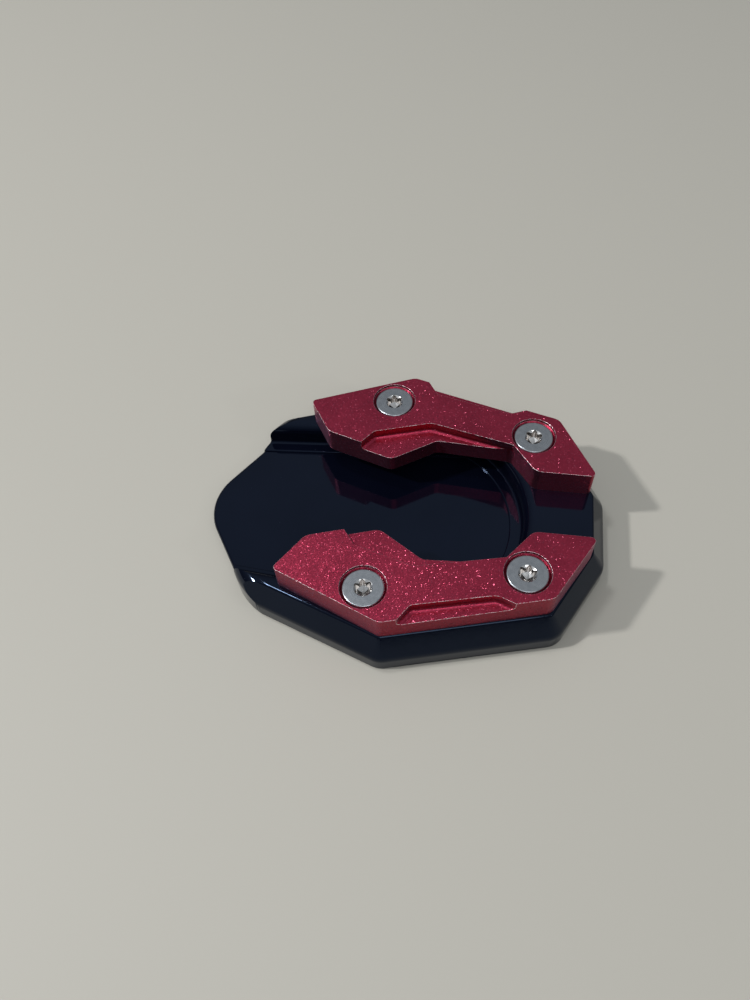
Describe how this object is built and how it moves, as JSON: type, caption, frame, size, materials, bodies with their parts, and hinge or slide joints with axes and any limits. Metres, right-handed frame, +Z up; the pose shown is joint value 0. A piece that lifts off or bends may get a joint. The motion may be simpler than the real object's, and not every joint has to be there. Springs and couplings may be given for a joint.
{
  "type": "kickstand foot enlarger",
  "caption": "Foot enlarger for a motorcycle kickstand: a broad low plate with a stepped pocket for the stand's foot and two red jaws screwed on over it.",
  "frame": {"origin": "middle of the bounding box on the ground face", "axes": "-X towards the nose where the stand's foot slides in, +X towards the closed back, +Z up from the ground; the middle line lies along X"},
  "size_m": [0.1008, 0.0796, 0.0175],
  "materials": {
    "black_plate": "glossy blue-black anodised, milled",
    "red_jaw": "red anodised over a fine blasted surface, edges worn pale",
    "steel_screw": "bright machined"
  },
  "bodies": {
    "root": {"base_plate": "black_plate", "far_jaw": "red_jaw", "near_jaw": "red_jaw", "far_front_screw": "steel_screw", "far_rear_screw": "steel_screw", "near_front_screw": "steel_screw", "near_rear_screw": "steel_screw"}
  },
  "joints": []
}
